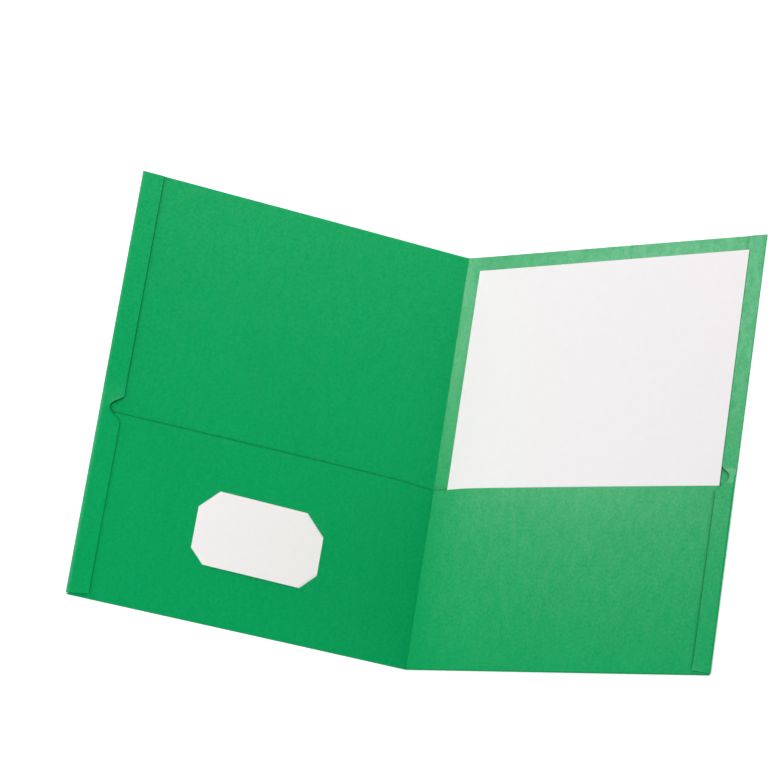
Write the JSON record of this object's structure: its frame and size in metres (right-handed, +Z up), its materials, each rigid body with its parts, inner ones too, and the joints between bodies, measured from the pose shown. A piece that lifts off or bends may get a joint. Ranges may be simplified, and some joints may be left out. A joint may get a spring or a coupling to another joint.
{
  "type": "two pocket folder",
  "caption": "Green paper folder that opens at a spine crease, with a pocket inside each cover, glued edge hems, a business card in corner slits and a letter sheet in one pocket.",
  "frame": {"origin": "centre of the back cover's outside face, which lies on the table", "axes": "+X from the spine to the back cover's open edge, +Y from the bottom fold to the top edge, +Z up out of the back cover's inside face"},
  "size_m": [0.3654, 0.2921, 0.2045],
  "materials": {
    "cover_stock": "green dyed cover stock with a fine felt grain and a soft sheen",
    "glue": "dried film of white glue, hidden under the hems",
    "card": "smooth matt white card",
    "paper": "smooth matt white writing paper"
  },
  "bodies": {
    "back": {"back_cover": "cover_stock", "back_pocket": "cover_stock", "back_bottom_fold": "cover_stock", "back_edge_fold": "cover_stock", "back_hem": "cover_stock", "back_cover_glue": "glue", "back_pocket_glue": "glue", "spine_crease": "cover_stock", "pocket_crease": "cover_stock"},
    "front": {"front_cover": "cover_stock", "front_pocket": "cover_stock", "front_bottom_fold": "cover_stock", "front_edge_fold": "cover_stock", "front_hem": "cover_stock", "front_cover_glue": "glue", "front_pocket_glue": "glue", "business_card": "card"},
    "sheet": {"letter_sheet": "paper"}
  },
  "joints": [
    {"name": "spine_fold", "type": "hinge", "parent": "back", "child": "front", "pos_m": [-0.1194, 0, 0.00148], "axis": [0, 1, 0], "range_deg": [-58.3, 120.2], "deforming": ["spine_crease", "pocket_crease"]},
    {"name": "sheet_slide", "type": "slide", "parent": "back", "child": "sheet", "axis": [0, 1, 0], "range_m": [-0.0015, 0.13]}
  ]
}
